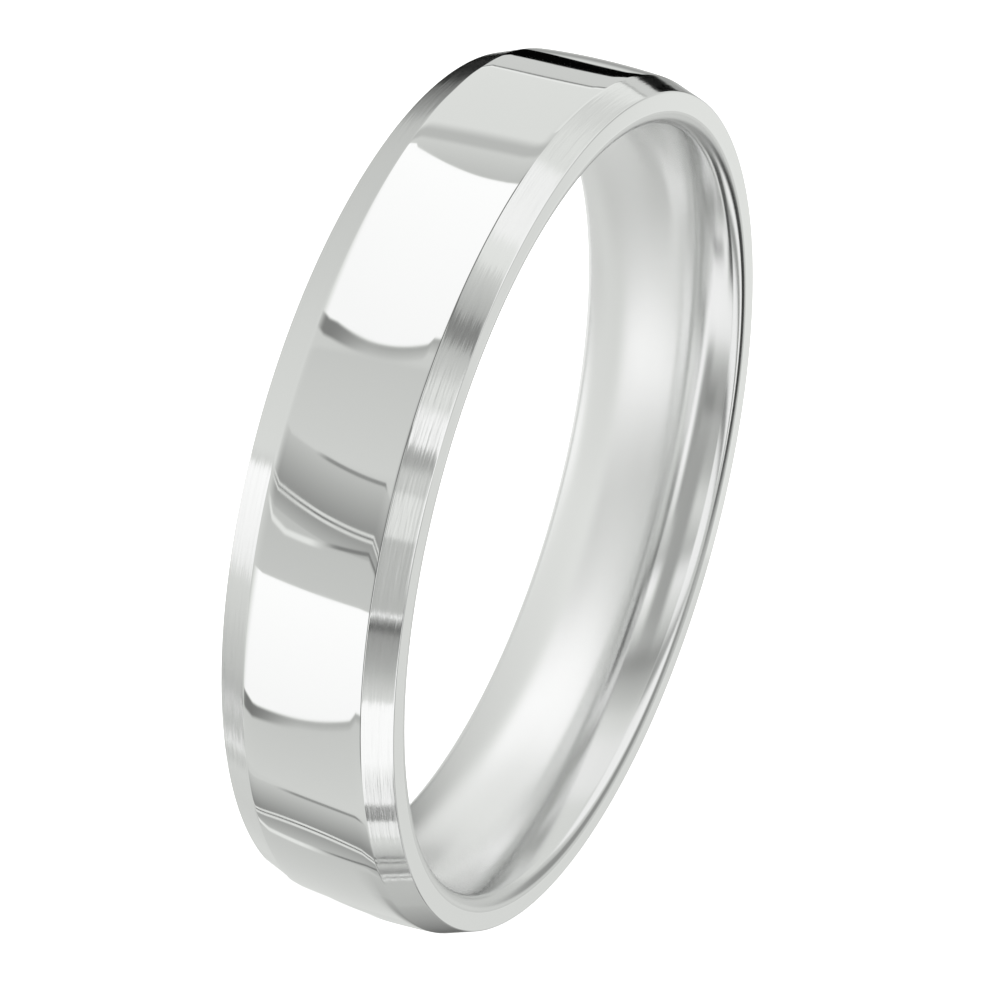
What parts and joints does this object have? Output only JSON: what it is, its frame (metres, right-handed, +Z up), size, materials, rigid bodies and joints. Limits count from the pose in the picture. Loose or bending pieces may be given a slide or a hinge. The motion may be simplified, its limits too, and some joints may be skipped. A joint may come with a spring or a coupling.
{
  "type": "wedding band",
  "caption": "Plain finger ring with a polished, slightly crowned centre, a brushed bevel down each shoulder, narrow side walls and a rounded comfort-fit bore.",
  "frame": {"origin": "centre of the bore, half way across the width of the band", "axes": "+Y along the ring's own axis; +Z up, with the ring standing on its rim; +X across"},
  "size_m": [0.0196, 0.004, 0.0196],
  "materials": {
    "white_metal": "mirror polish on the centre, the side walls and the bore; brushed satin, with the lines running round the ring, on both bevels"
  },
  "bodies": {
    "root": {"band": "white_metal"}
  },
  "joints": []
}
